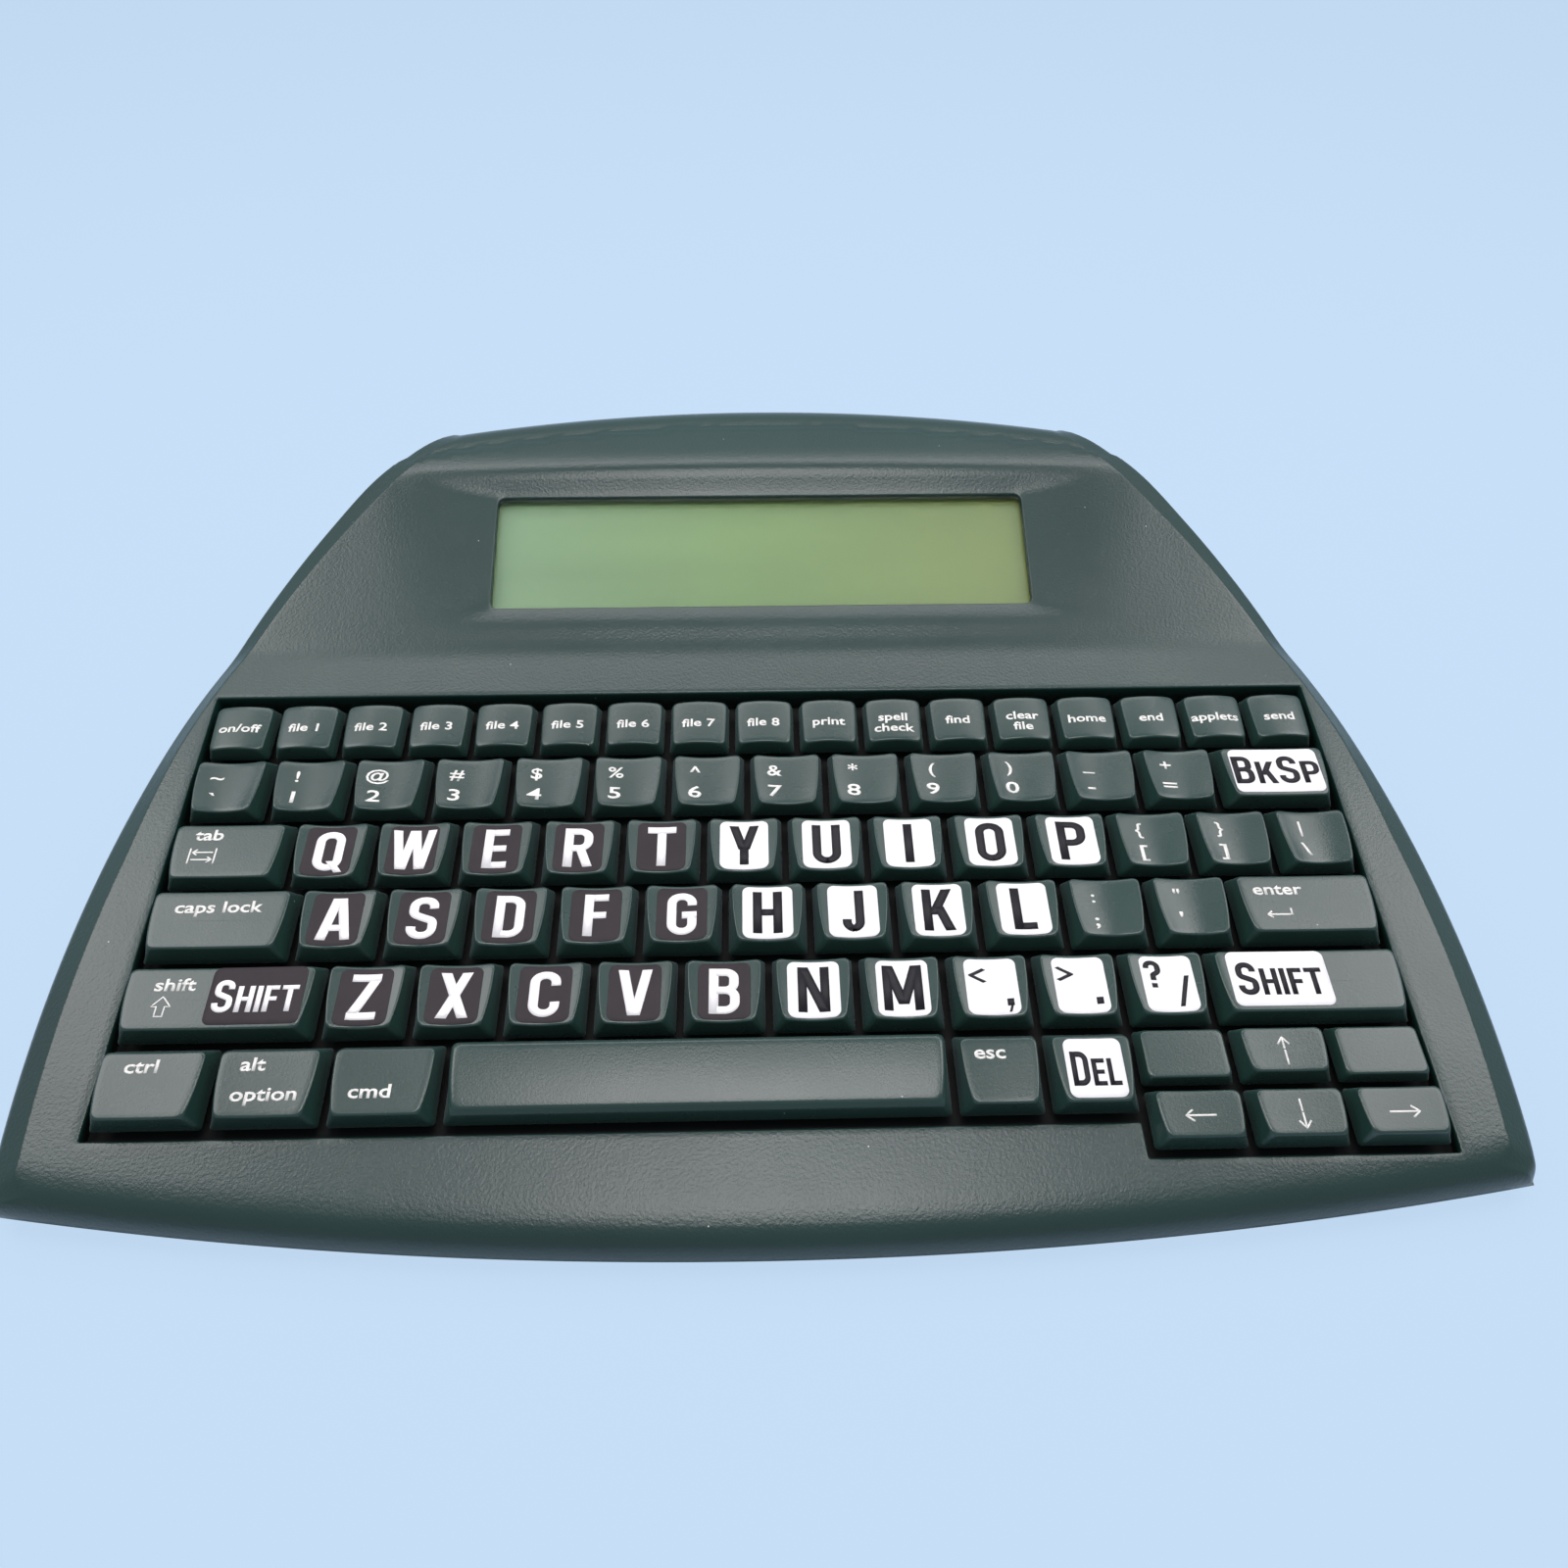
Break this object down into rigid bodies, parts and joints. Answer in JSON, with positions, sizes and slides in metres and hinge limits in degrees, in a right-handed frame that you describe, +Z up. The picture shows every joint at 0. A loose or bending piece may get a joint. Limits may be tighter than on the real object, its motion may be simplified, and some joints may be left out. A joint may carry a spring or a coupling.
{
  "type": "electronic word processor",
  "caption": "Portable word processor: wedge housing with rolled front lip, full keyboard of travelling keys and a sloped display window.",
  "frame": {"origin": "on the table, under the middle of the housing's outline", "axes": "+X to the user's right, +Y to the back, +Z up"},
  "size_m": [0.3144, 0.2429, 0.0476],
  "materials": {
    "case_plastic": "fine moulded grain",
    "key_plastic": "satin moulded",
    "clear_window": "clear acrylic",
    "display_glass": "reflective liquid crystal glass",
    "tin_plate": "bright tin plate",
    "circuit_board": "solder resist",
    "flat_cable": "laminated film",
    "frame_plastic": "moulded",
    "silicone_rubber": "milky silicone",
    "membrane_film": "polyester film",
    "zinc_plate": "zinc plated sheet",
    "infrared_plastic": "dark red, polished",
    "cell_sleeve": "printed sleeve, left plain",
    "foot_rubber": "matt rubber",
    "screw_steel": "plated"
  },
  "bodies": {
    "case": {"top_case": "case_plastic", "bottom_case": "case_plastic", "display_window": "clear_window", "display_bezel": "tin_plate", "display_glass": "display_glass", "display_board": "circuit_board", "display_cable": "flat_cable", "key_frame": "frame_plastic", "rubber_domes": "silicone_rubber", "key_membrane": "membrane_film", "key_backplate": "zinc_plate", "filler_caps": "key_plastic", "main_board": "circuit_board", "computer_socket": "tin_plate", "printer_socket": "tin_plate", "infrared_window": "infrared_plastic", "backup_cell": "tin_plate", "battery_cells": "cell_sleeve", "battery_contacts": "tin_plate", "rubber_feet": "foot_rubber", "case_screws": "screw_steel", "inner_screws": "screw_steel"},
    "door": {"battery_door": "case_plastic"},
    "balance_wire": {"space_bar_wire": "tin_plate"},
    "key_q": {"key_q": "key_plastic"},
    "key_w": {"key_w": "key_plastic"},
    "key_e": {"key_e": "key_plastic"},
    "key_r": {"key_r": "key_plastic"},
    "key_t": {"key_t": "key_plastic"},
    "key_y": {"key_y": "key_plastic"},
    "key_u": {"key_u": "key_plastic"},
    "key_i": {"key_i": "key_plastic"},
    "key_o": {"key_o": "key_plastic"},
    "key_p": {"key_p": "key_plastic"},
    "key_a": {"key_a": "key_plastic"},
    "key_s": {"key_s": "key_plastic"},
    "key_d": {"key_d": "key_plastic"},
    "key_f": {"key_f": "key_plastic"},
    "key_g": {"key_g": "key_plastic"},
    "key_h": {"key_h": "key_plastic"},
    "key_j": {"key_j": "key_plastic"},
    "key_k": {"key_k": "key_plastic"},
    "key_l": {"key_l": "key_plastic"},
    "key_z": {"key_z": "key_plastic"},
    "key_x": {"key_x": "key_plastic"},
    "key_c": {"key_c": "key_plastic"},
    "key_v": {"key_v": "key_plastic"},
    "key_b": {"key_b": "key_plastic"},
    "key_n": {"key_n": "key_plastic"},
    "key_m": {"key_m": "key_plastic"},
    "space_bar": {"space_bar": "key_plastic"},
    "enter_key": {"enter_key": "key_plastic"},
    "on_off_key": {"on_off_key": "key_plastic"},
    "number_keys": {"number_keys": "key_plastic"},
    "punctuation_keys": {"punctuation_keys": "key_plastic"},
    "function_keys": {"function_keys": "key_plastic"},
    "wide_keys": {"wide_keys": "key_plastic"},
    "arrow_keys": {"arrow_keys": "key_plastic"}
  },
  "joints": [
    {"name": "space_bar_press", "type": "slide", "parent": "case", "child": "space_bar", "axis": [0, 0.0785, -0.9969], "range_m": [0, 0.0026], "stiffness_N_per_m": 200, "springref_m": -0.001, "deforming": ["rubber_domes"]},
    {"name": "enter_key_press", "type": "slide", "parent": "case", "child": "enter_key", "axis": [0, 0.0785, -0.9969], "range_m": [0, 0.0026], "stiffness_N_per_m": 200, "springref_m": -0.001},
    {"name": "on_off_key_press", "type": "slide", "parent": "case", "child": "on_off_key", "axis": [0, 0.0785, -0.9969], "range_m": [0, 0.0026], "stiffness_N_per_m": 200, "springref_m": -0.001},
    {"name": "number_keys_press", "type": "slide", "parent": "case", "child": "number_keys", "axis": [0, 0.0785, -0.9969], "range_m": [0, 0.0026], "stiffness_N_per_m": 200, "springref_m": -0.001},
    {"name": "punctuation_keys_press", "type": "slide", "parent": "case", "child": "punctuation_keys", "axis": [0, 0.0785, -0.9969], "range_m": [0, 0.0026], "stiffness_N_per_m": 200, "springref_m": -0.001},
    {"name": "function_keys_press", "type": "slide", "parent": "case", "child": "function_keys", "axis": [0, 0.0785, -0.9969], "range_m": [0, 0.0026], "stiffness_N_per_m": 200, "springref_m": -0.001},
    {"name": "wide_keys_press", "type": "slide", "parent": "case", "child": "wide_keys", "axis": [0, 0.0785, -0.9969], "range_m": [0, 0.0026], "stiffness_N_per_m": 200, "springref_m": -0.001},
    {"name": "arrow_keys_press", "type": "slide", "parent": "case", "child": "arrow_keys", "axis": [0, 0.0785, -0.9969], "range_m": [0, 0.0026], "stiffness_N_per_m": 200, "springref_m": -0.001},
    {"name": "key_q_press", "type": "slide", "parent": "case", "child": "key_q", "axis": [0, 0.0785, -0.9969], "range_m": [0, 0.0026], "stiffness_N_per_m": 200, "springref_m": -0.001},
    {"name": "key_w_press", "type": "slide", "parent": "case", "child": "key_w", "axis": [0, 0.0785, -0.9969], "range_m": [0, 0.0026], "stiffness_N_per_m": 200, "springref_m": -0.001},
    {"name": "key_e_press", "type": "slide", "parent": "case", "child": "key_e", "axis": [0, 0.0785, -0.9969], "range_m": [0, 0.0026], "stiffness_N_per_m": 200, "springref_m": -0.001},
    {"name": "key_r_press", "type": "slide", "parent": "case", "child": "key_r", "axis": [0, 0.0785, -0.9969], "range_m": [0, 0.0026], "stiffness_N_per_m": 200, "springref_m": -0.001},
    {"name": "key_t_press", "type": "slide", "parent": "case", "child": "key_t", "axis": [0, 0.0785, -0.9969], "range_m": [0, 0.0026], "stiffness_N_per_m": 200, "springref_m": -0.001},
    {"name": "key_y_press", "type": "slide", "parent": "case", "child": "key_y", "axis": [0, 0.0785, -0.9969], "range_m": [0, 0.0026], "stiffness_N_per_m": 200, "springref_m": -0.001},
    {"name": "key_u_press", "type": "slide", "parent": "case", "child": "key_u", "axis": [0, 0.0785, -0.9969], "range_m": [0, 0.0026], "stiffness_N_per_m": 200, "springref_m": -0.001},
    {"name": "key_i_press", "type": "slide", "parent": "case", "child": "key_i", "axis": [0, 0.0785, -0.9969], "range_m": [0, 0.0026], "stiffness_N_per_m": 200, "springref_m": -0.001},
    {"name": "key_o_press", "type": "slide", "parent": "case", "child": "key_o", "axis": [0, 0.0785, -0.9969], "range_m": [0, 0.0026], "stiffness_N_per_m": 200, "springref_m": -0.001},
    {"name": "key_p_press", "type": "slide", "parent": "case", "child": "key_p", "axis": [0, 0.0785, -0.9969], "range_m": [0, 0.0026], "stiffness_N_per_m": 200, "springref_m": -0.001},
    {"name": "key_a_press", "type": "slide", "parent": "case", "child": "key_a", "axis": [0, 0.0785, -0.9969], "range_m": [0, 0.0026], "stiffness_N_per_m": 200, "springref_m": -0.001},
    {"name": "key_s_press", "type": "slide", "parent": "case", "child": "key_s", "axis": [0, 0.0785, -0.9969], "range_m": [0, 0.0026], "stiffness_N_per_m": 200, "springref_m": -0.001},
    {"name": "key_d_press", "type": "slide", "parent": "case", "child": "key_d", "axis": [0, 0.0785, -0.9969], "range_m": [0, 0.0026], "stiffness_N_per_m": 200, "springref_m": -0.001},
    {"name": "key_f_press", "type": "slide", "parent": "case", "child": "key_f", "axis": [0, 0.0785, -0.9969], "range_m": [0, 0.0026], "stiffness_N_per_m": 200, "springref_m": -0.001},
    {"name": "key_g_press", "type": "slide", "parent": "case", "child": "key_g", "axis": [0, 0.0785, -0.9969], "range_m": [0, 0.0026], "stiffness_N_per_m": 200, "springref_m": -0.001},
    {"name": "key_h_press", "type": "slide", "parent": "case", "child": "key_h", "axis": [0, 0.0785, -0.9969], "range_m": [0, 0.0026], "stiffness_N_per_m": 200, "springref_m": -0.001},
    {"name": "key_j_press", "type": "slide", "parent": "case", "child": "key_j", "axis": [0, 0.0785, -0.9969], "range_m": [0, 0.0026], "stiffness_N_per_m": 200, "springref_m": -0.001},
    {"name": "key_k_press", "type": "slide", "parent": "case", "child": "key_k", "axis": [0, 0.0785, -0.9969], "range_m": [0, 0.0026], "stiffness_N_per_m": 200, "springref_m": -0.001},
    {"name": "key_l_press", "type": "slide", "parent": "case", "child": "key_l", "axis": [0, 0.0785, -0.9969], "range_m": [0, 0.0026], "stiffness_N_per_m": 200, "springref_m": -0.001},
    {"name": "key_z_press", "type": "slide", "parent": "case", "child": "key_z", "axis": [0, 0.0785, -0.9969], "range_m": [0, 0.0026], "stiffness_N_per_m": 200, "springref_m": -0.001},
    {"name": "key_x_press", "type": "slide", "parent": "case", "child": "key_x", "axis": [0, 0.0785, -0.9969], "range_m": [0, 0.0026], "stiffness_N_per_m": 200, "springref_m": -0.001},
    {"name": "key_c_press", "type": "slide", "parent": "case", "child": "key_c", "axis": [0, 0.0785, -0.9969], "range_m": [0, 0.0026], "stiffness_N_per_m": 200, "springref_m": -0.001},
    {"name": "key_v_press", "type": "slide", "parent": "case", "child": "key_v", "axis": [0, 0.0785, -0.9969], "range_m": [0, 0.0026], "stiffness_N_per_m": 200, "springref_m": -0.001},
    {"name": "key_b_press", "type": "slide", "parent": "case", "child": "key_b", "axis": [0, 0.0785, -0.9969], "range_m": [0, 0.0026], "stiffness_N_per_m": 200, "springref_m": -0.001},
    {"name": "key_n_press", "type": "slide", "parent": "case", "child": "key_n", "axis": [0, 0.0785, -0.9969], "range_m": [0, 0.0026], "stiffness_N_per_m": 200, "springref_m": -0.001},
    {"name": "key_m_press", "type": "slide", "parent": "case", "child": "key_m", "axis": [0, 0.0785, -0.9969], "range_m": [0, 0.0026], "stiffness_N_per_m": 200, "springref_m": -0.001},
    {"name": "balance_wire_turn", "type": "hinge", "parent": "case", "child": "balance_wire", "pos_m": [0, -0.08228, 0.01231], "axis": [1, 0, 0], "range_deg": [0, 18.59]},
    {"name": "battery_door_lift", "type": "slide", "parent": "case", "child": "door", "axis": [0, 0, -1], "range_m": [0, 0.02]}
  ],
  "couplings": [
    {"joint": "balance_wire_turn", "follows": "space_bar_press", "rad_per_m": 124.78}
  ]
}
